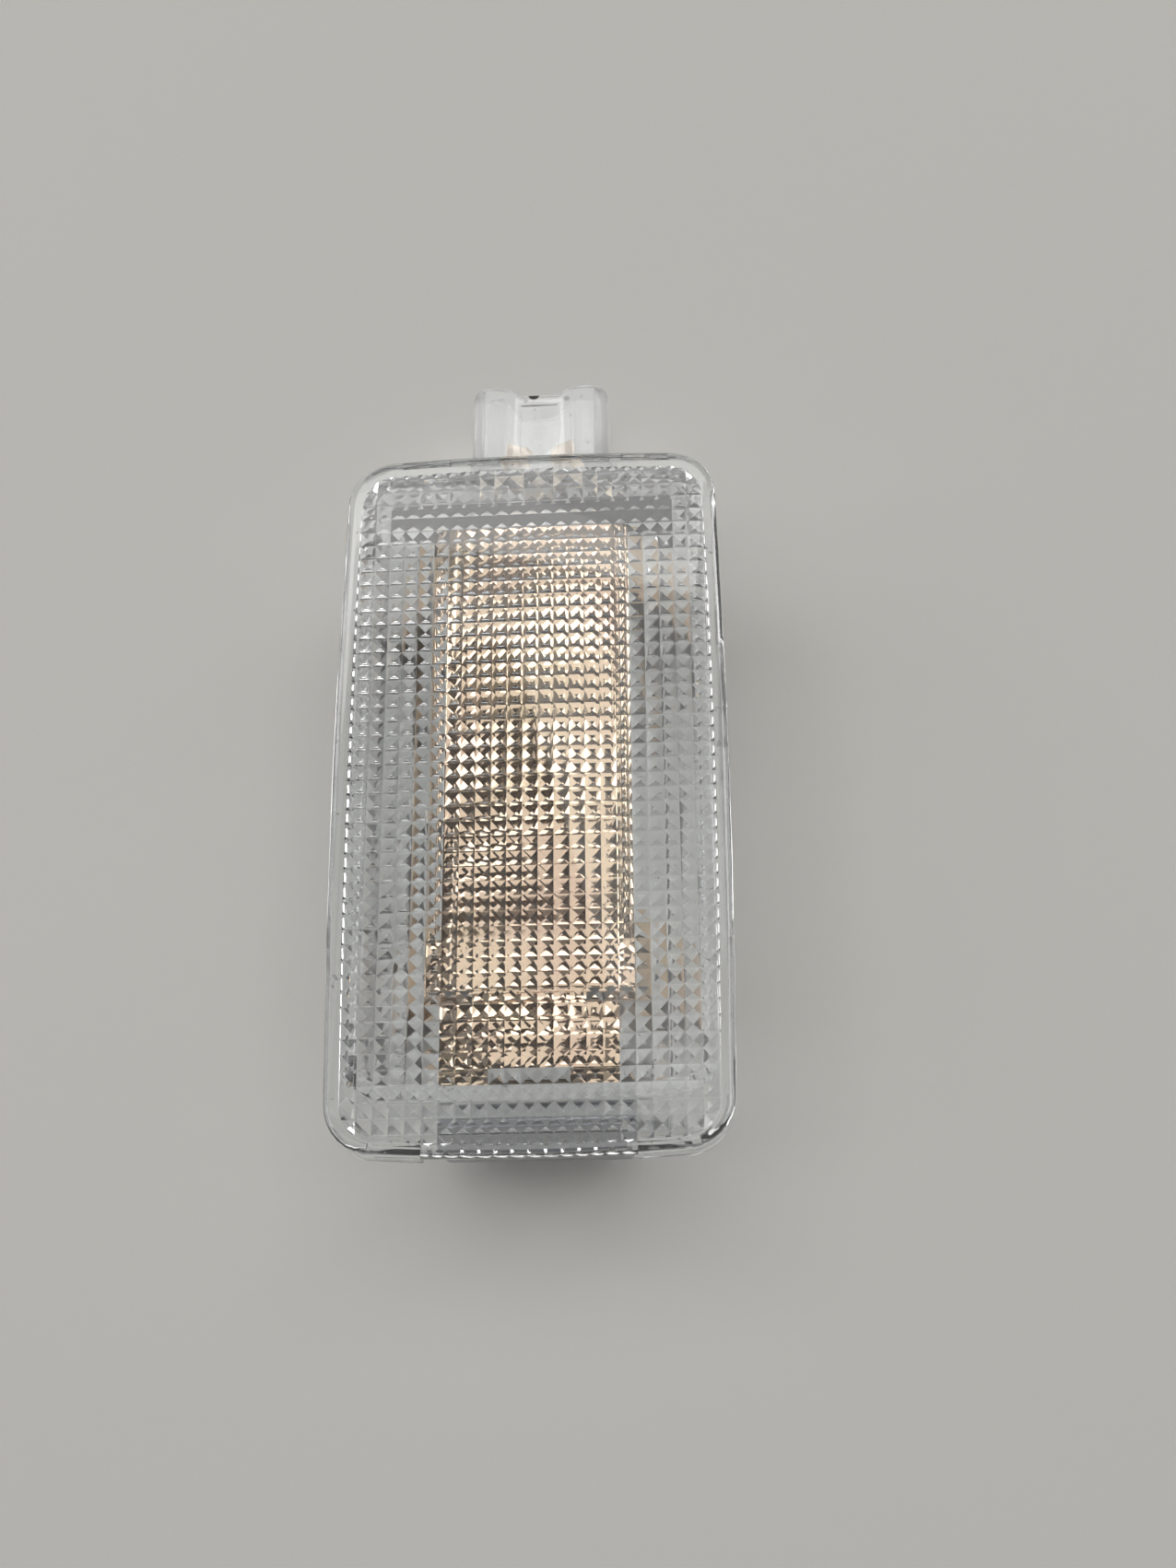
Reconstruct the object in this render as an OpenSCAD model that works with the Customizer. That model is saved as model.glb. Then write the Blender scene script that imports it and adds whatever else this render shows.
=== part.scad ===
// Luggage compartment lamp: clear prism lens over a clear housing with its connector.
// Millimetres. The lamp lies on its back: +Z out of the lens, +Y towards the connector.

/* [Lens] */
// width of the lens across its middle
lens_w = 32; // [30:0.5:38]
// length of the lens along its middle
lens_l = 60; // [58:0.5:68]
// corner radius of the lens outline
lens_r = 4; // [3:0.1:6]
// how far each long side bows out
bow_side = 0.4; // [0:0.05:0.8]
// how far each short side bows out
bow_end = 0.3; // [0:0.05:0.8]
// radius of the front edge
edge_r = 0.8; // [0.4:0.05:1.1]
// window thickness down to the prism valleys
window_t = 1.4; // [1.2:0.05:1.6]
// wall thickness of the skirt round the window
skirt_t = 1.2; // [1:0.05:1.6]
// depth of the skirt from the lens front
skirt_h = 3; // [2.6:0.1:4]
// pitch of the crossed prism ridges
prism_pitch = 1.25; // [1.1:0.05:1.8]
// height of each prism above its valleys
prism_h = 0.44; // [0.3:0.02:0.6]
// width of the gap in the skirt for the spring clip
notch_w = 16.3; // [15.8:0.1:20]

/* [Housing] */
// depth of the whole lamp, lens front to housing back
lamp_depth = 16; // [16:0.5:20]
// wall thickness of the housing
wall_t = 1.2; // [1:0.05:1.6]
// floor thickness of the housing
floor_t = 1.2; // [1:0.05:1.6]
// clearance between the lens skirt and the housing
fit_gap = 0.1; // [0.05:0.01:0.2]
// space for the spring clip between the skirt's outline and the end wall
clip_space = 4.6; // [4:0.1:5.5]
// height of the snap ridges inside the skirt
snap_h = 0.3; // [0.2:0.05:0.4]
// length of each snap ridge
snap_l = 7; // [4:0.5:10]
// thickness of the panel that the lamp snaps into
panel_t = 2.5; // [1:0.1:3.2]
// how far the fixed hooks stand out of the end wall
hook_out = 1.5; // [1:0.1:2.2]
// width of each fixed hook
hook_w = 4; // [3:0.1:5]

/* [Connector] */
// overall width of the connector shroud
conn_w = 12.5; // [11.8:0.1:14]
// how far the shroud reaches past the lens outline
conn_out = 11.6; // [10:0.1:14]
// thickness of the web over the socket
roof_t = 0.75; // [0.6:0.05:1]
// radius of the two barrels along the shroud
barrel_r = 2.1; // [1.8:0.05:2.3]
// distance of the web below the barrels' tops
web_drop = 0.35; // [0.2:0.05:0.6]
// distance of the web's end behind the barrels' ends
web_back = 0.7; // [0.4:0.05:1.2]
// width of the panel sunk into the web
sunk_w = 3.35; // [2.4:0.05:4]
// width of the socket
socket_w = 9.6; // [9.2:0.1:10.4]
// height of the socket
socket_h = 4.6; // [4.3:0.1:4.9]
// depth of the socket behind the barrels' ends
socket_l = 9; // [8:0.1:10]
// thickness of the shroud under the socket
socket_wall = 1.1; // [0.8:0.05:1.4]
// width of each blade
blade_w = 2.8; // [2.4:0.1:3.2]
// distance between the blades' centres
blade_pitch = 5; // [4.6:0.1:5.6]
// length of each blade inside the socket
blade_l = 4.4; // [3.6:0.1:4.6]

/* [Bulb] */
// length of the bulb over its end tips
bulb_l = 36; // [35:0.5:39]
// radius of the glass
glass_r = 4.8; // [4.5:0.1:4.9]
// thickness of the glass
glass_t = 0.5; // [0.4:0.05:0.7]
// radius of each end cap
cap_r = 4.2; // [3.6:0.1:4.3]
// length of each end cap
cap_l = 6; // [5:0.1:7]
// space between the contact strips and the glass
bulb_gap = 0.8; // [0.6:0.05:1]
// radius of the filament coil
coil_r = 0.55; // [0.4:0.05:0.8]
// distance of each filament end from the bulb's middle
coil_end = 8; // [6:0.5:9]
// thickness of the wires that carry the filament
wire_r = 0.25; // [0.2:0.05:0.35]

/* [Reflector] */
// gap between the dark bar and the reflector
refl_gap = 0.2; // [0.1:0.05:0.5]
// space between the reflector's far end and the housing's end wall
far_gap = 0.5; // [0.3:0.05:1]
// width over the reflector's top
refl_w = 15.2; // [14.5:0.1:17]
// how far the reflector's far end is set in at each side
far_in = 0.7; // [0.3:0.05:1.2]
// length of the narrower far end
far_l = 6.8; // [5:0.1:8]
// how far the sides flare out beside the far end
flare_out = 0.5; // [0.2:0.05:0.8]
// length of the flared sides
flare_l = 4.6; // [3:0.1:6]
// width of the neck that joins the far end
neck_w = 8.8; // [6:0.1:10]
// length of the slits beside the neck
slit_l = 1; // [0.6:0.05:1.4]
// width of the notch in the far end's edge
notch_end = 6.4; // [4:0.1:8]
// depth of that notch
notch_l = 1.2; // [0.6:0.05:1.5]
// thickness of the reflector sheet
refl_t = 0.4; // [0.3:0.05:0.5]
// space between the prisms' tips and the reflector
refl_drop = 0.7; // [0.4:0.05:1]
// rise of the reflector's top towards its middle
crown = 0.3; // [0.1:0.05:0.6]
// how far the legs stand out from the top
leg_out = 1.3; // [1:0.05:1.6]
// width of each leg along the lamp
leg_w = 6.2; // [4:0.1:7]

/* [Contacts] */
// thickness of the contact strip
contact_t = 0.8; // [0.6:0.05:0.9]
// length of each cradle along the cap
cradle_l = 4; // [3:0.1:5]
// clearance between a cradle and its cap
grip_gap = 0.03; // [0.02:0.01:0.1]
// width of the ground strip along the floor
strip_w = 2.5; // [2:0.1:3]
// space between the ground strip and the live cradle
strip_gap = 0.27; // [0.2:0.01:0.5]
// thickness of the dark bar along the lamp
bar_t = 2; // [1.6:0.1:2.4]
// height of the dark bar's head
bar_head = 2; // [1.4:0.1:3]
// width of the dark bar's web
bar_web = 13; // [11:0.1:14]
// space between each end of the dark bar and the side wall
bar_gap = 1.6; // [0.8:0.05:3]
// space between the dark bar and the end wall
bar_back = 1.3; // [0.5:0.1:2]

/* [Clip] */
// width of the spring clip
clip_w = 14.6; // [12:0.1:15.2]
// thickness of the spring clip
clip_t = 0.4; // [0.3:0.05:0.5]
// radius of the moulded bar that carries the clip
pin_r = 0.6; // [0.5:0.05:0.8]
// clearance between that bar and the clip's curl
pin_gap = 0.1; // [0.08:0.01:0.2]
// height of that bar above the housing back
pin_z = 2.4; // [2.2:0.1:3]
// how far the clip bulges past its curl
bulge = 0.85; // [0.5:0.05:1]
// distance of the clip's free end below the skirt
clip_drop = 0.3; // [0.2:0.05:1]
// how far the clip's free end leans back over its curl
clip_lean = 0.7; // [0.3:0.05:1]

/* [Hidden] */
$fn = 48;

// heights
front_z = lamp_depth;
skirt_z = front_z - skirt_h;
valley_z = front_z - window_t;
apex_z = valley_z - prism_h;
house_top = apex_z - 0.08;
socket_z0 = floor_t + socket_wall;
conn_top = socket_z0 + socket_h + roof_t + web_drop;
bulb_z = floor_t + contact_t + bulb_gap + glass_r;
refl_top = apex_z - refl_drop;
refl_edge = refl_top - crown;
socket_mid = socket_z0 + socket_h/2;

// places along the lamp
lens_end = lens_l/2;
house_y1 = lens_end - skirt_t - fit_gap;
house_y0 = -lens_end + clip_space;
house_l = house_y1 - house_y0;
house_cy = (house_y1 + house_y0)/2;
house_w = lens_w - 2*(skirt_t + fit_gap);
house_r = lens_r - skirt_t - fit_gap;
mouth_y = lens_end + conn_out;
socket_y0 = mouth_y - socket_l;
blade_tip = socket_y0 + blade_l;
bar_w = house_w - 2*(wall_t + bar_gap);
bar_y1 = house_y1 - wall_t - bow_end - bar_back;
bar_y0 = bar_y1 - bar_t;
refl_y1 = bar_y0 - refl_gap;
refl_y0 = house_y0 + wall_t + far_gap;
bulb_y = (refl_y0 + refl_y1)/2;
strip_x = cap_r + grip_gap + contact_t + strip_gap + strip_w/2;
leg_x = refl_w/2 + leg_out;
leg_y1 = refl_y1 - 0.2 - leg_w/2;
leg_y0 = refl_y0 + far_l + 0.1 + leg_w/2;
legs = [for (s = [-1, 1], y = [leg_y0, leg_y1]) [s, y]];
riser_y = bar_y0 - refl_gap - contact_t;
pin_y = house_y0 - pin_r - pin_gap - clip_t - 0.2;
cap_mid = bulb_l/2 - 0.8 - cap_l/2;

// outline of a rounded rectangle whose sides bow out, moved in by d
function side_pts(n) = [for (i = [1:n - 1]) 2*i/n - 1];
function ring(w, l, r, bs, be, d) =
  let (hx = w/2 - bs - r, hy = l/2 - be - r, n = 8, m = 8)
  concat(
    [for (i = [0:n]) [hx + (r - d)*cos(90*i/n), hy + (r - d)*sin(90*i/n)]],
    [for (t = side_pts(m)) [-t*hx, l/2 - be*t*t - d]],
    [for (i = [0:n]) [-hx - (r - d)*sin(90*i/n), hy + (r - d)*cos(90*i/n)]],
    [for (t = side_pts(m)) [-(w/2 - bs*t*t - d), -t*hy]],
    [for (i = [0:n]) [-hx - (r - d)*cos(90*i/n), -hy - (r - d)*sin(90*i/n)]],
    [for (t = side_pts(m)) [t*hx, -(l/2 - be*t*t - d)]],
    [for (i = [0:n]) [hx + (r - d)*sin(90*i/n), -hy - (r - d)*cos(90*i/n)]],
    [for (t = side_pts(m)) [w/2 - bs*t*t - d, t*hy]]);

function lens_ring(d) = ring(lens_w, lens_l, lens_r, bow_side, bow_end, d);
function house_ring(d) = ring(house_w, house_l, house_r, bow_side, bow_end, d);

// solid through rings of points at rising heights
module loft(rings, heights) {
  n = len(rings[0]);
  k = len(rings);
  pts = [for (j = [0:k - 1]) for (p = rings[j]) [p[0], p[1], heights[j]]];
  sides = [for (j = [0:k - 2]) for (i = [0:n - 1])
    [j*n + i, (j + 1)*n + i, (j + 1)*n + (i + 1)%n, j*n + (i + 1)%n]];
  polyhedron(pts, concat([[for (i = [0:n - 1]) i]], sides, [[for (i = [n - 1:-1:0]) (k - 1)*n + i]]));
}

// band of one thickness along a line of points in the YZ plane
function unit(v) = v/norm(v);
function side_of(pts, i) =
  let (a = pts[max(i - 1, 0)], b = pts[min(i + 1, len(pts) - 1)], u = unit(b - a)) [-u[1], u[0]];
function band(pts, t) = concat(
  [for (i = [0:len(pts) - 1]) pts[i] + side_of(pts, i)*t/2],
  [for (i = [len(pts) - 1:-1:0]) pts[i] - side_of(pts, i)*t/2]);

// a YZ profile run across the lamp, centred on x
module across(x, w) {
  translate([x - w/2, 0, 0]) rotate([90, 0, 90]) linear_extrude(w) children();
}

// an XZ profile run along the lamp from y0 to y1
module along(y0, y1) {
  translate([0, y1, 0]) rotate([90, 0, 0]) linear_extrude(y1 - y0) children();
}

// ridges along Y, their crests down, above a zigzag
module ridges(n, length) {
  zig = [for (i = [0:2*n]) [(i - n)*prism_pitch/2, i%2 == 0 ? apex_z : valley_z]];
  top = valley_z + 0.3;
  along(-length/2, length/2) polygon(concat(zig, [[n*prism_pitch/2, top], [-n*prism_pitch/2, top]]));
}

// square pyramids over the whole window, where two sets of ridges cross
module prism_field() {
  nx = ceil(lens_w/prism_pitch);
  ny = ceil(lens_l/prism_pitch);
  intersection() {
    ridges(nx, lens_l);
    rotate([0, 0, 90]) ridges(ny, lens_w);
    translate([0, 0, skirt_z]) linear_extrude(skirt_h) polygon(lens_ring(skirt_t - 0.03));
  }
}

// three-sided ridge along Y on the wall at x = 0, standing out to +X
module snap_ridge(h, l) {
  along(-l/2, l/2) polygon([[-0.2, -h], [0, -h], [h, 0], [0, h], [-0.2, h]]);
}

function snap_at(d) =
  [for (s = [-1, 1], f = [-0.5, 0.5]) [s*(lens_w/2 - bow_side/4 - d), f*house_l*0.6, s]];

// clear window with its prisms, skirt and snap ridges
module lens() {
  steps = 4;
  edge = [for (i = [0:steps]) edge_r*(1 - cos(90*i/steps))];
  rise = [for (i = [0:steps]) front_z - edge_r + edge_r*sin(90*i/steps)];
  snap_z = skirt_z + snap_h + 0.2;
  color([0.85, 0.92, 0.95, 0.6]) {
    difference() {
      loft(concat([lens_ring(0.15), lens_ring(0)], [for (e = edge) lens_ring(e)]),
           concat([skirt_z, skirt_z + 0.15], rise));
      translate([0, 0, skirt_z - 1]) linear_extrude(valley_z - skirt_z + 1) polygon(lens_ring(skirt_t));
      translate([-notch_w/2, -lens_end - 1, skirt_z - 1])
        cube([notch_w, 1 + skirt_t + bow_end + 0.1, valley_z - skirt_z + 1]);
    }
    prism_field();
    for (p = snap_at(skirt_t)) translate([p[0], p[1], snap_z]) mirror([p[2] > 0 ? 1 : 0, 0, 0])
      snap_ridge(snap_h, snap_l);
  }
}

// shroud outline seen along Y: two barrels joined by a lower web
module shroud_section() {
  base = floor_t;
  bx = conn_w/2 - barrel_r;
  difference() {
    union() {
      for (s = [-1, 1]) translate([s*bx, conn_top - barrel_r]) circle(r = barrel_r);
      translate([-conn_w/2, base + 0.6]) square([conn_w, conn_top - barrel_r - base - 0.6]);
      translate([-conn_w/2 + 0.6, base]) square([conn_w - 1.2, 1]);
      for (s = [-1, 1]) translate([s*(conn_w/2 - 0.6), base + 0.6]) circle(r = 0.6, $fn = 24);
      translate([-bx, base]) square([2*bx, conn_top - web_drop - base]);
    }
  }
}

// shroud outline seen from the front, its barrel ends rounded
module shroud_plan() {
  translate([-conn_w/2, house_y1 - wall_t]) square([conn_w, mouth_y - house_y1 + wall_t - 0.6]);
  translate([-conn_w/2 + 0.6, mouth_y - 1.2]) square([conn_w - 1.2, 1.2]);
  for (s = [-1, 1]) translate([s*(conn_w/2 - 0.6), mouth_y - 0.6]) circle(r = 0.6, $fn = 24);
}

// soft step that sets the web's end back from the barrels' ends
module web_end() {
  w0 = conn_w/2 - 2*barrel_r + 0.15;
  curve = [for (i = [0:8]) let (a = 180*i/8) [w0 - 0.5*cos(a), -web_back/2 - web_back/2*cos(a)]];
  translate([0, mouth_y, socket_z0 + socket_h - 0.8]) linear_extrude(front_z)
    polygon(concat([for (p = curve) p], [[w0 + 0.5, 1], [-w0 - 0.5, 1]],
                   [for (i = [8:-1:0]) [-curve[i][0], curve[i][1]]]));
}

module shroud_solid() {
  intersection() {
    along(house_y1 - wall_t, mouth_y) shroud_section();
    translate([0, 0, -1]) linear_extrude(front_z) shroud_plan();
  }
}

module shroud_cuts() {
  web_end();
  translate([-socket_w/2, socket_y0, socket_z0]) cube([socket_w, socket_l + 1, socket_h]);
  translate([-sunk_w/2, lens_end - 1, conn_top - web_drop - 0.3])
    cube([sunk_w, mouth_y - web_back - 0.95 - lens_end + 1, 1]);
  for (s = [-1, 1])
    translate([s*blade_pitch/2 - blade_w/2 - 0.05, bar_y1 - 0.5, socket_mid - contact_t/2 - 0.05])
      cube([blade_w + 0.1, socket_y0 - bar_y1 + 1, contact_t + 0.1]);
}

// two ears and a round bar across them, for the clip's curl
module clip_carrier() {
  ear = pin_r + 0.35;
  for (s = [-1, 1]) across(s*(clip_w/2 + 0.15 + 0.6), 1.2) {
    translate([pin_y, pin_z]) circle(r = ear);
    translate([pin_y, pin_z - ear]) square([house_y0 - pin_y + 0.2, 2*ear]);
  }
  across(0, clip_w + 1.4) translate([pin_y, pin_z]) circle(r = pin_r);
}

// fixed hook at the connector end, sloped on its back so that it slips under the panel
module hook(x) {
  top = skirt_z - panel_t - 0.1;
  across(x, hook_w)
    polygon([[house_y1 - 0.2, top], [house_y1 + hook_out - 0.4, top], [house_y1 + hook_out, top - 0.4],
             [house_y1 + hook_out, top - 0.8], [house_y1 - 0.2, top - 0.8 - hook_out]]);
}

// moulded post with a shoulder, a stud and a head formed over what it holds
module stake(x, y, seat, t, r, head) {
  translate([x, y, floor_t - 0.1]) {
    if (seat > floor_t + 0.05) cylinder(r = r + 0.6, h = seat - floor_t + 0.1);
    cylinder(r = r, h = seat - floor_t + t + 0.2);
  }
  translate([x, y, seat + t]) rotate_extrude()
    polygon([[0, 0], [head, 0], [head, 0.2], [head*0.85, 0.42], [head*0.5, 0.55], [0, 0.6]]);
}

live_stake = [0, bulb_y + cap_mid - cradle_l/2 - 2.2];
ground_stakes = [[-strip_x, bulb_y + 10], [-strip_x, bulb_y - 10]];

// clear tray with its connector shroud, clip carrier, hooks, ribs, leg slots and stakes
module housing() {
  snap_z = skirt_z + snap_h + 0.2;
  color([0.8, 0.88, 0.92, 0.6]) {
    difference() {
      union() {
        translate([0, house_cy, 0])
          loft([house_ring(0.4), house_ring(0), house_ring(0)], [0, 0.4, house_top]);
        shroud_solid();
        hook(conn_w/2 + 1.2 + hook_w/2);
        hook(-conn_w/2 - 1.2 - hook_w/2);
      }
      translate([0, house_cy, floor_t]) linear_extrude(front_z) polygon(house_ring(wall_t));
      for (p = snap_at(skirt_t + fit_gap)) translate([p[0] + 0.05*p[2], p[1], snap_z])
        mirror([p[2] > 0 ? 1 : 0, 0, 0]) snap_ridge(snap_h + 0.05, snap_l + 0.6);
      shroud_cuts();
      for (p = legs) translate([p[0]*leg_x - refl_t/2 - 0.08, p[1] - leg_w/2 - 0.1, -1])
        cube([refl_t + 0.16, leg_w + 0.2, floor_t + 2]);
    }
    clip_carrier();
    for (s = [-1, 1]) translate([s*(bar_web/2 - 1.6) - 0.6, bar_y1 + 0.1, floor_t - 0.1])
      cube([1.2, house_y1 - bar_y1 - 0.1 - wall_t/2, socket_mid + 3]);
    stake(live_stake[0], live_stake[1], floor_t, contact_t, 0.7, 1.2);
    for (p = ground_stakes) stake(p[0], p[1], floor_t, contact_t, 0.6, 1.05);
    for (s = [-1, 1], y = [-14, 0, 14])
      translate([s*(house_w/2 - wall_t - 0.5) - 0.6, house_cy + y, floor_t - 0.1]) cube([1.2, 0.9, 3.1]);
  }
}

// dark T-shaped bar at the connector end: its web holds the contacts, its head lies under the prisms
module terminal_bar() {
  head_z = refl_top - bar_head;
  r = 0.4;
  color([0.16, 0.16, 0.18]) difference() {
    along(bar_y0, bar_y1) union() {
      translate([-bar_web/2, floor_t]) square([bar_web, refl_top - floor_t - r]);
      translate([-bar_w/2 + r, head_z]) square([bar_w - 2*r, bar_head]);
      translate([-bar_w/2, head_z + r]) square([bar_w, bar_head - 2*r]);
      for (s = [-1, 1], z = [head_z + r, refl_top - r])
        translate([s*(bar_w/2 - r), z]) circle(r = r, $fn = 24);
    }
    for (s = [-1, 1])
      translate([s*blade_pitch/2 - blade_w/2 - 0.05, bar_y0 - 1, socket_mid - contact_t/2 - 0.05])
        cube([blade_w + 0.1, bar_t + 2, contact_t + 0.1]);
    for (s = [-1, 1]) translate([s*bar_web/4 - 1.4, bar_y1 - 0.7, socket_mid + 1.6])
      cube([2.8, 1, head_z - socket_mid - 2.4]);
  }
}

// bright pressed hood over the bulb, close under the prisms: crowned top, folded lips, four legs in
// the floor's slots, flared sides, and a notched far end on a neck between two slits
module reflector() {
  hw = refl_w/2;
  t = refl_t;
  z = refl_edge - t/2;
  top = [for (i = [-6:6]) [i/6*(hw - 0.4), refl_top - t/2 - crown*i*i/36]];
  lip = [[hw - 0.4, z], [hw - 0.1, z - 0.15], [hw, z - 1.1]];
  flare = [[hw - 0.6, z], [hw + flare_out - 0.3, z - 0.05], [hw + flare_out - 0.1, z - 0.3],
           [hw + flare_out, z - 1]];
  leg = [[hw - 0.4, z], [hw - 0.1, z - 0.15], [leg_x - 0.2, z - 2.2], [leg_x, z - 3], [leg_x, 0.3]];
  end_y = refl_y0 + far_l;
  end_w = refl_w - 2*far_in;
  far = [[end_y + 1.3, z + 0.1], [end_y, z + 0.1], [refl_y0 + 1.3, z - 0.1], [refl_y0 + 0.6, z - 0.35],
         [refl_y0 + t/2, z - 1.3]];
  color([0.95, 0.78, 0.62]) {
    along(end_y, refl_y1) {
      polygon(band(top, t));
      for (s = [0, 1]) mirror([s, 0]) polygon(band(lip, t));
    }
    along(end_y, end_y + flare_l) for (s = [0, 1]) mirror([s, 0]) polygon(band(flare, t));
    for (p = legs) along(p[1] - leg_w/2, p[1] + leg_w/2)
      mirror([p[0] > 0 ? 0 : 1, 0]) polygon(band(leg, t));
    difference() {
      across(0, end_w) polygon(band(far, t));
      for (s = [0, 1]) mirror([s, 0, 0]) translate([neck_w/2, end_y - slit_l, z - 1])
        cube([end_w, slit_l + 2, 2]);
      translate([-notch_end/2, refl_y0 - 1, z - 2]) cube([notch_end, 1 + notch_l, 3]);
    }
  }
}

// spring cradle round the lower half of an end cap, standing on the housing floor
module cradle(y) {
  ri = cap_r + grip_gap;
  ro = ri + contact_t;
  along(y - cradle_l/2, y + cradle_l/2) {
    translate([0, bulb_z]) difference() {
      circle(r = ro);
      circle(r = ri);
      translate([-ro - 1, ri*0.42]) square([2*ro + 2, 2*ro]);
      translate([-ri*0.55, -ro - 1]) square([ri*1.1, ro]);
    }
    for (s = [-1, 1]) mirror([s > 0 ? 0 : 1, 0]) {
      polygon(band([[ri*0.55 + 0.1, floor_t + contact_t/2],
                    [ro - contact_t/2 - 0.5, floor_t + contact_t/2],
                    [ro - contact_t/2, floor_t + contact_t/2 + 0.5],
                    [ro - contact_t/2, bulb_z - 1.2]], contact_t));
      translate([ri*0.907 + 0.08, bulb_z + ri*0.42 - 0.2]) rotate(-24) square([contact_t*0.9, 1.3]);
    }
    translate([-ri*0.55 - 0.3, floor_t]) square([ri*1.1 + 0.6, contact_t]);
  }
}

// blade in the socket, with the riser down to the housing floor
module blade(x) {
  translate([x - blade_w/2, riser_y, socket_mid - contact_t/2])
    cube([blade_w, blade_tip - riser_y - 0.5, contact_t]);
  translate([x - blade_w/2 + 0.4, riser_y, socket_mid - contact_t/2 + 0.15])
    cube([blade_w - 0.8, blade_tip - riser_y, contact_t - 0.3]);
  translate([x - blade_w/2, riser_y, floor_t]) cube([blade_w, contact_t, socket_mid - floor_t]);
}

module flat(x0, x1, y0, y1) {
  translate([x0, y0, floor_t]) cube([x1 - x0, y1 - y0, contact_t]);
}

module contact_live() {
  near = bulb_y + cap_mid;
  bx = blade_pitch/2;
  color([0.86, 0.74, 0.42]) difference() {
    union() {
      blade(bx);
      flat(bx - blade_w/2, bx + blade_w/2, near, riser_y + contact_t);
      cradle(near);
      flat(-1.8, 1.8, live_stake[1] - 1.6, near);
    }
    translate([live_stake[0], live_stake[1], 0]) cylinder(r = 0.75, h = 4);
  }
}

module contact_ground() {
  far = bulb_y - cap_mid;
  bx = -blade_pitch/2;
  color([0.86, 0.74, 0.42]) difference() {
    union() {
      blade(bx);
      flat(-strip_x - strip_w/2, bx + blade_w/2, riser_y + contact_t - 1.6, riser_y + contact_t);
      flat(-strip_x - strip_w/2, -strip_x + strip_w/2, far - 1.5, riser_y + contact_t);
      flat(-strip_x - strip_w/2, -cap_r + 1.6, far - 1.5, far + 1.5);
      cradle(far);
    }
    for (p = ground_stakes) translate([p[0], p[1], 0]) cylinder(r = 0.65, h = 4);
  }
}

// glass tube drawn in to each end, under the caps
module bulb_glass() {
  g = bulb_l/2 - 0.8 - cap_l;
  neck = cap_r - 0.35;
  prof = [[neck, -g - cap_l + 2.1], [neck, -g + 0.1], [glass_r, -g + 2.3],
          [glass_r, g - 2.3], [neck, g - 0.1], [neck, g + cap_l - 2.1]];
  color([0.8, 0.85, 0.9, 0.5]) translate([0, bulb_y, bulb_z]) rotate([-90, 0, 0]) rotate_extrude()
    polygon(concat(prof, [for (i = [5:-1:0]) [prof[i][0] - glass_t, prof[i][1]]]));
}

// drawn cap over one end of the glass, its tip hole closed by solder
module cap(s) {
  g = bulb_l/2 - 0.8 - cap_l;
  color([0.75, 0.75, 0.76]) translate([0, bulb_y, bulb_z]) rotate([-90, 0, 0]) mirror([0, 0, s > 0 ? 0 : 1])
    rotate_extrude()
    polygon([[cap_r - 0.3, g], [cap_r, g], [cap_r, g + cap_l - 1.6], [cap_r*0.82, g + cap_l - 0.5],
             [cap_r*0.5, g + cap_l], [0.9, g + cap_l], [0.9, g + cap_l - 0.35],
             [cap_r*0.45, g + cap_l - 0.35], [cap_r*0.75, g + cap_l - 0.8], [cap_r - 0.3, g + cap_l - 1.8]]);
}

// domed solder in the cap's end
module tip(s) {
  g = bulb_l/2 - 0.8;
  color([0.62, 0.62, 0.64]) translate([0, bulb_y, bulb_z]) rotate([-90, 0, 0]) mirror([0, 0, s > 0 ? 0 : 1])
    rotate_extrude() polygon([[0, g - 0.35], [0.86, g - 0.35], [0.86, g], [1.4, g + 0.02], [1.25, g + 0.45],
                              [0.7, g + 0.74], [0, g + 0.8]]);
}

// wire from the solder to the filament's end
module wire(s) {
  g = bulb_l/2 - 0.8;
  color([0.7, 0.7, 0.7]) translate([0, bulb_y, bulb_z]) mirror([0, s > 0 ? 0 : 1, 0]) {
    translate([0, coil_end, 0]) rotate([-90, 0, 0]) cylinder(r = wire_r, h = g - 0.4 - coil_end, $fn = 16);
    translate([0, coil_end, 0]) sphere(r = wire_r*1.4, $fn = 16);
  }
}

// fine coil between the two wires, its turns as a corrugated tube
module filament() {
  pitch = 1.2;
  turns = floor(2*(coil_end - 0.6)/pitch);
  line = [for (i = [0:2*turns]) [coil_r - (i%2 == 0 ? 0.3 : 0.08), (i - turns)*pitch/2]];
  color([0.5, 0.5, 0.52]) translate([0, bulb_y, bulb_z]) rotate([90, 0, 0]) rotate_extrude($fn = 20)
    polygon(band(line, 0.14));
}

// middle line of the clip: three quarters round the bar, then up over the bulge to the free end
function clip_line() =
  let (rm = pin_r + pin_gap + clip_t/2, top = skirt_z - clip_drop)
  concat([for (i = [0:12]) let (a = 30 - 210*i/12) [pin_y + rm*cos(a), pin_z + rm*sin(a)]],
    [for (i = [1:14]) let (t = i/14)
      [pin_y - rm - bulge*sin(180*t) + clip_lean*t*t, pin_z + (top - pin_z)*t]]);

// spring steel leaf that grips the panel, curled round the housing's bar
module spring_clip() {
  color([0.6, 0.62, 0.66]) across(0, clip_w) polygon(band(clip_line(), clip_t));
}

translate([0, -conn_out/2, 0]) {
  lens();
  housing();
  terminal_bar();
  reflector();
  contact_live();
  contact_ground();
  bulb_glass();
  cap(1);  // bulb_cap_live
  cap(-1);  // bulb_cap_ground
  tip(1);  // bulb_tip_live
  tip(-1);  // bulb_tip_ground
  filament();
  wire(1);  // filament_wire_live
  wire(-1);  // filament_wire_ground
  spring_clip();
}
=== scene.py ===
import bpy
from math import pi, radians
from mathutils import Matrix, Vector


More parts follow.
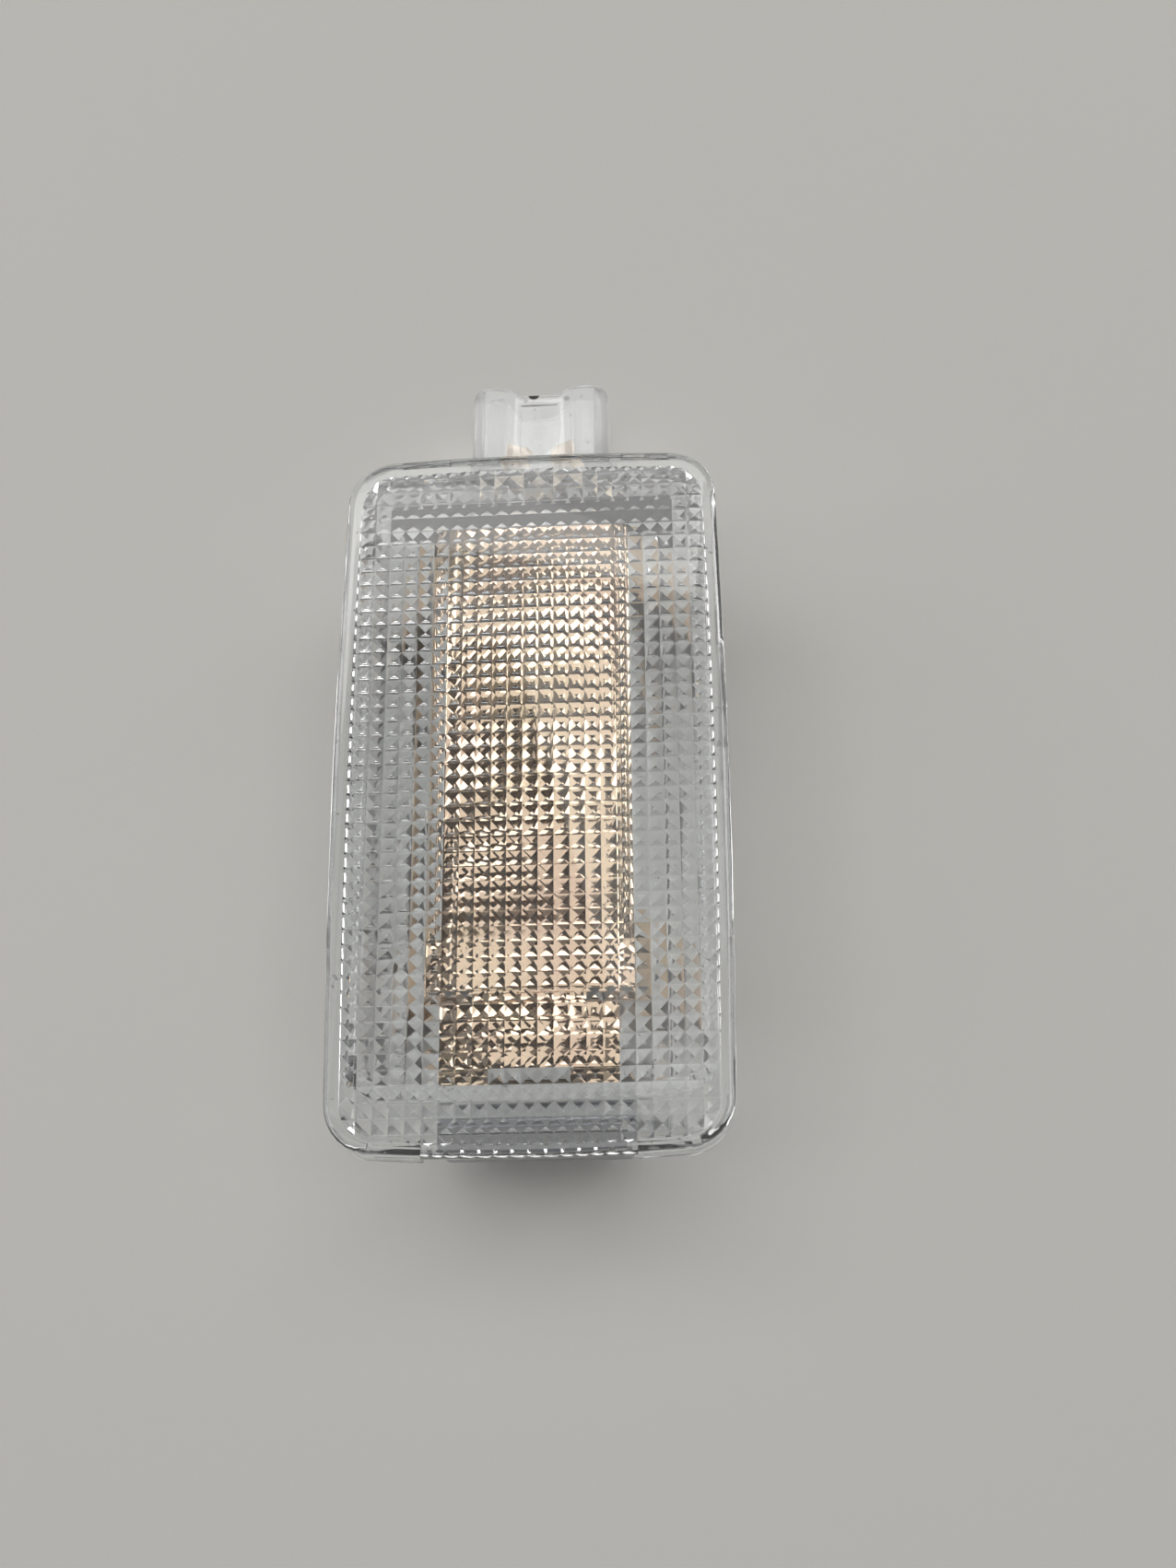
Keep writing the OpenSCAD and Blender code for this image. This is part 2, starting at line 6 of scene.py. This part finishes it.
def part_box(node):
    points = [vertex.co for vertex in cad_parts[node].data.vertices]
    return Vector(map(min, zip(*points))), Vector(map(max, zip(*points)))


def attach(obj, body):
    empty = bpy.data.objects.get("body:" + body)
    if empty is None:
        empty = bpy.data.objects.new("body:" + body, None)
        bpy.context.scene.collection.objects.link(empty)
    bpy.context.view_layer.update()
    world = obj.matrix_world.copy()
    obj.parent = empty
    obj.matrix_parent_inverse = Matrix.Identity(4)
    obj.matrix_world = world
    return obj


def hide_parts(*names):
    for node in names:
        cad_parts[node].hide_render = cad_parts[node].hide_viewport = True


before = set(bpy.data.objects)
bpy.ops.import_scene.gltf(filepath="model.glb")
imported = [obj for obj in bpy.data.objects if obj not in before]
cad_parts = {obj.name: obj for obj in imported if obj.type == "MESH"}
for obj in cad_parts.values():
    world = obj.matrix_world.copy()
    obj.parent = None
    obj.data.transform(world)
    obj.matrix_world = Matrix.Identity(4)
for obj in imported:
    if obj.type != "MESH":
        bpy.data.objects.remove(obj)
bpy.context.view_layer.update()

# The lens is one clear moulding of polished polycarbonate: a flat window with crossed prisms on its
# inner face, a rounded rim and a skirt that snaps over the housing. The mould leaves tiny radii along
# the prisms' crests and valleys, which draw the bright grid that shows from the front.
MM = 0.001
SAME_POINT = 0.002 * MM
SAME_FACE_DEG = 0.6
POLYCARBONATE_IOR = 1.585


class Socket:
    """A shader socket that takes part in sums, so that a mask is written as an expression."""

    def __init__(self, look, socket):
        self.look = look
        self.socket = socket

    def _with(self, operation, a, b):
        return self.look.add("ShaderNodeMath", {"operation": operation}, {0: a, 1: b})

    def __add__(self, other):
        return self._with("ADD", self, other)

    def __radd__(self, other):
        return self._with("ADD", other, self)

    def __sub__(self, other):
        return self._with("SUBTRACT", self, other)

    def __rsub__(self, other):
        return self._with("SUBTRACT", other, self)

    def __mul__(self, other):
        return self._with("MULTIPLY", self, other)

    def __rmul__(self, other):
        return self._with("MULTIPLY", other, self)


class Look:
    """A material that starts empty, with every node added by one method."""

    def __init__(self, name):
        self.material = bpy.data.materials.new(name)
        self.material.use_nodes = True
        self.tree = self.material.node_tree
        self.tree.nodes.clear()
        self.place = self.add("ShaderNodeTexCoord", output="Object")

    def add(self, kind, settings=None, inputs=None, output=0):
        """A node with these settings and inputs, given back as the socket of one of its outputs, if any."""
        node = self.tree.nodes.new(kind)
        for name, value in (settings or {}).items():
            setattr(node, name, value)
        for name, value in (inputs or {}).items():
            if isinstance(value, Socket):
                self.tree.links.new(value.socket, node.inputs[name])
            else:
                node.inputs[name].default_value = value
        return Socket(self, node.outputs[output]) if node.outputs else None

    def noise(self, per_mm, detail, stretch=(1, 1, 1)):
        spot = self.add("ShaderNodeMapping", inputs={"Vector": self.place, "Scale": stretch})
        return self.add("ShaderNodeTexNoise",
                        inputs={"Vector": spot, "Scale": per_mm / MM, "Detail": detail})

    def step(self, value, low, high):
        """A mask that rises from 0 at low to 1 at high."""
        return self.add("ShaderNodeMapRange", {"clamp": True},
                        {"Value": value, "From Min": low, "From Max": high})

    def tint(self, mask, first, second):
        """One colour where the mask is 0 and the other where it is 1."""
        return self.add("ShaderNodeMix", {"data_type": "RGBA"},
                        {"Factor": mask, 6: first, 7: second}, output=2)

    def bump(self, height, depth_mm, strength):
        return self.add("ShaderNodeBump",
                        inputs={"Height": height, "Distance": depth_mm * MM, "Strength": strength})

    def surface(self, **inputs):
        named = {key.replace("_", " ").title().replace("Ior", "IOR"): value
                 for key, value in inputs.items()}
        return self.add("ShaderNodeBsdfPrincipled", inputs=named)

    def done(self, shader):
        self.add("ShaderNodeOutputMaterial", inputs={"Surface": shader})
        return self.material


def pick(*pieces):
    """Selects these pieces and nothing else."""
    bpy.ops.object.select_all(action="DESELECT")
    for piece in pieces:
        piece.select_set(True)
    bpy.context.view_layer.objects.active = pieces[0]


def merged_copy(node, name):
    """A copy of a frame node as one closed mesh of whole faces."""
    piece = bpy.data.objects.new(name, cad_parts[node].data.copy())
    bpy.context.scene.collection.objects.link(piece)
    pick(piece)
    bpy.ops.object.mode_set(mode="EDIT")
    bpy.ops.mesh.select_all(action="SELECT")
    bpy.ops.mesh.remove_doubles(threshold=SAME_POINT)
    bpy.ops.mesh.dissolve_limited(angle_limit=radians(SAME_FACE_DEG))
    bpy.ops.object.mode_set(mode="OBJECT")
    return piece


def soften(piece, width_mm, steps=2, over_deg=25, smooth_deg=34):
    """Small radii along a piece's edges, as a mould or press leaves them."""
    pick(piece)
    bevel = piece.modifiers.new("edges", "BEVEL")
    bevel.width = width_mm * MM
    bevel.segments = steps
    bevel.limit_method = "ANGLE"
    bevel.angle_limit = radians(over_deg)
    bevel.use_clamp_overlap = True
    bpy.ops.object.modifier_apply(modifier="edges")
    bpy.ops.object.shade_smooth_by_angle(angle=radians(smooth_deg))


def dress(piece, material, body, slot, *nodes):
    """Gives a piece its material and its body, in place of these frame nodes. The slot is not used."""
    piece.data.materials.clear()
    piece.data.materials.append(material)
    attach(piece, body)
    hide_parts(*nodes)


def clear_plastic(look, marks, tint, rough, milk):
    """Clear moulded plastic that lets lamps shine through, with faint flow marks, dust and dark marks
    of grime and painted shade. The milk is the share that scatters light back, each mark a place, a radius
    and a strength."""
    haze = look.noise(0.35, 4)
    grain = look.noise(3.0, 2)
    dust = look.step(look.noise(1.1, 6), 0.69, 0.74)
    plastic = look.surface(base_color=tint, roughness=rough + 0.05 * haze * haze, ior=POLYCARBONATE_IOR,
                           transmission_weight=1.0, normal=look.bump(grain, 0.002, 0.4))
    white = look.surface(base_color=(0.95, 0.95, 0.94, 1), roughness=0.5)
    plastic = look.add("ShaderNodeMixShader", inputs={0: milk, 1: plastic, 2: white})
    # The dark surface is dust and grime, and painted shade where a mark stands for shadow.
    grime_and_shade_surface = look.surface(base_color=(0.05, 0.045, 0.04, 1), roughness=0.85)
    grime_and_shade_mask = dust * 0.45
    for place, radius, strength in marks:
        away = look.add("ShaderNodeVectorMath", {"operation": "DISTANCE"},
                        {0: look.place, 1: place}, output="Value")
        grime_and_shade_mask = grime_and_shade_mask + strength * look.step(away, radius, 0.75 * radius)
    body = look.add("ShaderNodeMixShader", inputs={0: grime_and_shade_mask, 1: plastic, 2: grime_and_shade_surface})
    through = look.add("ShaderNodeBsdfTransparent", inputs={"Color": (0.99, 0.99, 0.99, 1)})
    shadow = look.add("ShaderNodeLightPath", output="Is Shadow Ray")
    return look.done(look.add("ShaderNodeMixShader", inputs={0: shadow, 1: body, 2: through}))


RIM_SPECK = ((-0.0157, -0.0275, 0.012), 0.5 * MM, 0.9)
lens_plastic = clear_plastic(Look("lens_plastic"), (RIM_SPECK,), tint=(0.97, 0.985, 0.99, 1),
                             rough=0.015, milk=0.012)
lens = merged_copy("lens", "prism_lens")
soften(lens, width_mm=0.085)
dress(lens, lens_plastic, "lamp", "clear_lens", "lens")

# The housing is the second clear moulding, a tray that carries the rest and turns milky at the connector
# shroud. It has the clip's carrier at the other end, slots for the reflector's legs, and posts whose
# heads were formed hot over the contacts.
# The dark disc at the web's end is painted shade, where its recess lies in shadow.
WEB_RECESS_SHADE = ((-0.0005, 0.0352, 0.0078), 0.6 * MM, 1.0)
WEB_SMUDGE = ((0.0025, 0.0347, 0.0080), 0.5 * MM, 0.35)
TRAY_MILK = 0.02
SHROUD_MILK = 0.19
MILK_FROM = 24 * MM
MILK_FULL = 30 * MM
look = Look("housing_plastic")
along = look.add("ShaderNodeSeparateXYZ", inputs={"Vector": look.place}, output="Y")
milk = TRAY_MILK + (SHROUD_MILK - TRAY_MILK) * look.step(along, MILK_FROM, MILK_FULL)
housing_plastic = clear_plastic(look, (WEB_RECESS_SHADE, WEB_SMUDGE), tint=(0.95, 0.97, 0.98, 1),
                                rough=0.04, milk=milk)
housing = merged_copy("housing", "clear_tray")
soften(housing, width_mm=0.12, over_deg=40)
dress(housing, housing_plastic, "lamp", "clear_housing", "housing")

# The terminal bar is a moulding at the connector end, coloured near black as painted shade. Its web,
# dropped into the tray, holds both contacts where they pass to the shroud, and its head lies just under the
# prisms.
look = Look("bar_painted_shade")
fleck = look.noise(5.0, 3)
# The near-black base colour is painted shade.
bar_shade_finish = look.done(look.surface(
    base_color=look.tint(fleck, (0.018, 0.018, 0.02, 1), (0.05, 0.048, 0.05, 1)),
    roughness=0.45 + 0.2 * fleck, normal=look.bump(fleck, 0.01, 0.5)))
bar = merged_copy("terminal_bar", "dark_bar")
soften(bar, width_mm=0.1)
dress(bar, bar_shade_finish, "lamp", "dark_plastic", "terminal_bar")

# The reflector is a hood pressed from bright rolled sheet with a warm lacquer. It lies over the bulb,
# close under the prisms, on four folded legs in the tray's slots. The rolling left faint lines along it.
look = Look("warm_bright_sheet")
rolled = look.noise(6.0, 2, (1, 0.03, 1))
cloud = look.noise(0.12, 2)
reflector_finish = look.done(look.surface(
    base_color=look.tint(look.step(cloud, 0.35, 0.65), (0.86, 0.68, 0.49, 1), (0.80, 0.60, 0.46, 1)),
    metallic=1.0, roughness=0.04 + 0.05 * rolled, normal=look.bump(rolled, 0.002, 0.2)))
reflector = merged_copy("reflector", "bright_hood")
soften(reflector, width_mm=0.06)
dress(reflector, reflector_finish, "lamp", "bright_reflector", "reflector")

# The two contacts are cut from one brass strip and folded: a blade for the plug, a run along the floor
# of the tray and a cradle that grips a cap of the bulb. They have dulled a little.
look = Look("contact_brass")
dull = look.noise(0.8, 4)
brass_finish = look.done(look.surface(
    base_color=look.tint(dull, (0.74, 0.63, 0.50, 1), (0.52, 0.43, 0.34, 1)),
    metallic=1.0, roughness=0.22 + 0.25 * dull, normal=look.bump(dull, 0.01, 0.3)))
for node in ("contact_live", "contact_ground"):
    contact = merged_copy(node, node + "_strip")
    soften(contact, width_mm=0.06)
    dress(contact, brass_finish, "lamp", "contact_brass", node)

# The bulb is a drawn glass tube, necked in under two plated caps. The glass is thin and clear, so it
# shows by its gleam and along its outline, where the eye looks through more of it.
look = Look("drawn_glass")
edge = look.add("ShaderNodeLayerWeight", inputs={"Blend": 0.25}, output="Facing")
glass_finish = look.done(look.surface(base_color=(0.9, 0.93, 0.95, 1), roughness=0.03, ior=1.5,
                                      alpha=0.10 + 0.5 * edge * edge))
glass = merged_copy("bulb_glass", "bulb_tube")
soften(glass, width_mm=0.2, steps=3)
dress(glass, glass_finish, "lamp", "bulb_glass", "bulb_glass")

# The caps are drawn from thin plated brass and crimped on the glass, with a drop of dull solder in the
# hole of each end.
look = Look("plated_cap")
worn = look.noise(1.5, 4)
cap_finish = look.done(look.surface(
    base_color=look.tint(worn, (0.78, 0.77, 0.75, 1), (0.60, 0.58, 0.55, 1)),
    metallic=1.0, roughness=0.18 + 0.2 * worn))
look = Look("dull_solder")
grey = look.noise(4.0, 3)
solder_finish = look.done(look.surface(
    base_color=look.tint(grey, (0.55, 0.55, 0.56, 1), (0.36, 0.36, 0.37, 1)),
    metallic=1.0, roughness=0.4 + 0.2 * grey, normal=look.bump(grey, 0.02, 0.5)))
for end in ("live", "ground"):
    cap = merged_copy("bulb_cap_" + end, "cap_" + end)
    soften(cap, width_mm=0.1)
    dress(cap, cap_finish, "lamp", "cap_metal", "bulb_cap_" + end)
    tip = merged_copy("bulb_tip_" + end, "solder_" + end)
    soften(tip, width_mm=0.05)
    dress(tip, solder_finish, "lamp", "solder", "bulb_tip_" + end)

# The filament is a fine coil of tungsten wire that hangs along the bulb. It is wound here between the
# ends of the plain solid that stands in its place in the CAD part.
look = Look("tungsten")
sooty = look.noise(8.0, 2)
coil_finish = look.done(look.surface(
    base_color=look.tint(sooty, (0.20, 0.19, 0.19, 1), (0.34, 0.33, 0.33, 1)), metallic=1.0,
    roughness=0.35 + 0.15 * sooty))
low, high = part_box("filament")
COIL_TURNS = 34
COIL_STEPS = 14
WIRE_RADIUS = 0.11 * MM
coil_middle = (Vector(low) + Vector(high)) / 2
coil_length = high[1] - low[1]
coil_radius = (high[2] - low[2]) / 2 - WIRE_RADIUS
bpy.ops.object.select_all(action="DESELECT")
bpy.ops.mesh.primitive_circle_add(vertices=6, radius=WIRE_RADIUS, fill_type="NOTHING",
                                  location=(coil_radius, 0, 0), rotation=(pi / 2, 0, 0))
coil = bpy.context.object
coil.name = "filament_coil"
bpy.ops.object.transform_apply(location=True, rotation=True, scale=True)
turns = coil.modifiers.new("turns", "SCREW")
turns.axis = "Z"
turns.angle = 2 * pi
turns.screw_offset = (coil_length - 3 * WIRE_RADIUS) / COIL_TURNS
turns.iterations = COIL_TURNS
turns.steps = COIL_STEPS
turns.render_steps = COIL_STEPS
bpy.ops.object.modifier_apply(modifier="turns")
coil.data.transform(Matrix.Translation(coil_middle) @ Matrix.Rotation(radians(90), 4, "X")
                    @ Matrix.Translation((0, 0, -coil_length / 2 + 1.5 * WIRE_RADIUS)))
pick(coil)
bpy.ops.object.mode_set(mode="EDIT")
bpy.ops.mesh.select_all(action="SELECT")
bpy.ops.mesh.remove_doubles(threshold=SAME_POINT / 2)
bpy.ops.mesh.select_all(action="DESELECT")
bpy.ops.mesh.select_non_manifold()
bpy.ops.mesh.edge_face_add()
bpy.ops.mesh.select_all(action="SELECT")
bpy.ops.mesh.normals_make_consistent(inside=False)
bpy.ops.object.mode_set(mode="OBJECT")
bpy.ops.object.shade_smooth_by_angle(angle=radians(50))
dress(coil, coil_finish, "lamp", "tungsten", "filament")

# The coil hangs between two stiffer wires, which run to the solder in the caps. They are drawn from a
# pale alloy, and the drawing left faint lines along them.
look = Look("carrier_wire")
drawn = look.noise(6.0, 2, (1, 0.1, 1))
wire_finish = look.done(look.surface(
    base_color=look.tint(drawn, (0.62, 0.58, 0.52, 1), (0.48, 0.45, 0.41, 1)), metallic=1.0,
    roughness=0.3 + 0.1 * drawn))
for end in ("live", "ground"):
    wire = merged_copy("filament_wire_" + end, "wire_" + end)
    soften(wire, width_mm=0.03)
    dress(wire, wire_finish, "lamp", "wire_metal", "filament_wire_" + end)

# The spring clip is a leaf of hardened strip, curled at its foot round the bar of the tray's carrier. It
# bends in as the lamp goes into its panel. Tumbling left it even and grey.
look = Look("spring_strip")
tumbled = look.noise(2.5, 4)
spring_finish = look.done(look.surface(
    base_color=look.tint(tumbled, (0.50, 0.51, 0.54, 1), (0.33, 0.33, 0.36, 1)), metallic=1.0,
    roughness=0.2 + 0.2 * tumbled, normal=look.bump(tumbled, 0.006, 0.4)))
clip = merged_copy("spring_clip", "spring_leaf")
soften(clip, width_mm=0.06)
dress(clip, spring_finish, "clip", "spring_steel", "spring_clip")

# The stage is a plain pale grey floor under soft lamps: a broad one overhead, a narrow one beyond the
# connector for the gleam of the prisms, and one at each side.
look = Look("pale_floor")
soft = look.noise(0.002, 2)
floor_finish = look.done(look.surface(
    base_color=look.tint(soft, (0.52, 0.515, 0.49, 1), (0.56, 0.555, 0.53, 1)), roughness=0.8))
bpy.ops.object.select_all(action="DESELECT")
FLOOR_DROP = 0.03 * MM  # keeps the floor's face apart from the tray's
bpy.ops.mesh.primitive_plane_add(size=4.0, location=(0, 0, -FLOOR_DROP))
floor = bpy.context.object
floor.name = "stage_floor"
floor.data.materials.append(floor_finish)


def lamp(name, place, aim, size, watts, colour):
    data = bpy.data.lights.new(name, "AREA")
    data.shape = "RECTANGLE"
    data.size, data.size_y = size
    data.energy = watts
    data.color = colour
    light = bpy.data.objects.new(name, data)
    light.location = place
    light.rotation_euler = (Vector(aim) - Vector(place)).to_track_quat("-Z", "Y").to_euler()
    bpy.context.scene.collection.objects.link(light)
    return light


DAYLIGHT = (1.0, 0.99, 0.97)
lamp("overhead", place=(-0.1, 0.14, 0.9), aim=(-0.1, 0.14, 0), size=(1.1, 1.0), watts=3.3, colour=DAYLIGHT)
lamp("strip", place=(-0.1, 0.56, 0.765), aim=(0, 0, 0), size=(1.2, 0.15), watts=1.5, colour=DAYLIGHT)
lamp("left", place=(-0.7, 0.1, 0.35), aim=(0, 0, 0), size=(0.6, 0.35), watts=2.2, colour=(0.99, 0.98, 1.0))
lamp("right", place=(0.7, 0.15, 0.4), aim=(0, 0, 0), size=(0.6, 0.35), watts=2.0, colour=(1.0, 0.98, 0.98))

world = bpy.data.worlds.new("soft_room")
world.use_nodes = True
background = world.node_tree.nodes["Background"]
background.inputs["Color"].default_value = (0.80, 0.80, 0.79, 1)
background.inputs["Strength"].default_value = 0.22
bpy.context.scene.world = world

# The card is a plain black panel of the stage, beside the camera. It is unseen itself and throws no
# shadow, and shows as a dark patch in the bright sheet and in the clear plastic.
look = Look("card_black")
card_finish = look.done(look.surface(base_color=(0.02, 0.02, 0.025, 1), roughness=0.9))
bpy.ops.object.select_all(action="DESELECT")
bpy.ops.mesh.primitive_plane_add(size=1.0, location=(0, 0, 0))
card = bpy.context.object
card.name = "stage_card"
CARD_HEIGHT = 0.165
CARD_CORNERS = ((-0.30, -0.047), (0.036, -0.047), (-0.30, 0.08), (-0.018, 0.08))
for vertex, (x, y) in zip(card.data.vertices, CARD_CORNERS):
    vertex.co = (x, y, CARD_HEIGHT)
card.data.materials.append(card_finish)
card.visible_camera = False
card.visible_diffuse = False
card.visible_shadow = False

# The camera stands about where the photograph's did. Its place and directions were fitted to the lens's
# four edges and the pitch of its prisms, for the best of a few focal lengths that were tried.
PHOTO_WIDTH_PX = 1276
FOCAL_PX = 2100
CAMERA_PLACE = (0.01358, -0.06221, 0.15887)
RIGHT = Vector((0.9979, -0.0069, -0.0647))
UP = Vector((0.0299, 0.9316, 0.3622))
FORWARD = Vector((-0.0577, 0.3633, -0.9299))
camera_data = bpy.data.cameras.new("camera")
camera_data.sensor_fit = "HORIZONTAL"
camera_data.sensor_width = 36.0
camera_data.lens = camera_data.sensor_width * FOCAL_PX / PHOTO_WIDTH_PX
camera_data.clip_start = 0.01
camera = bpy.data.objects.new("camera", camera_data)
turn = Matrix((RIGHT, UP, -FORWARD)).transposed().to_4x4()
camera.matrix_world = Matrix.Translation(CAMERA_PLACE) @ turn
bpy.context.scene.collection.objects.link(camera)
bpy.context.scene.camera = camera
bpy.context.scene.view_settings.view_transform = "Standard"
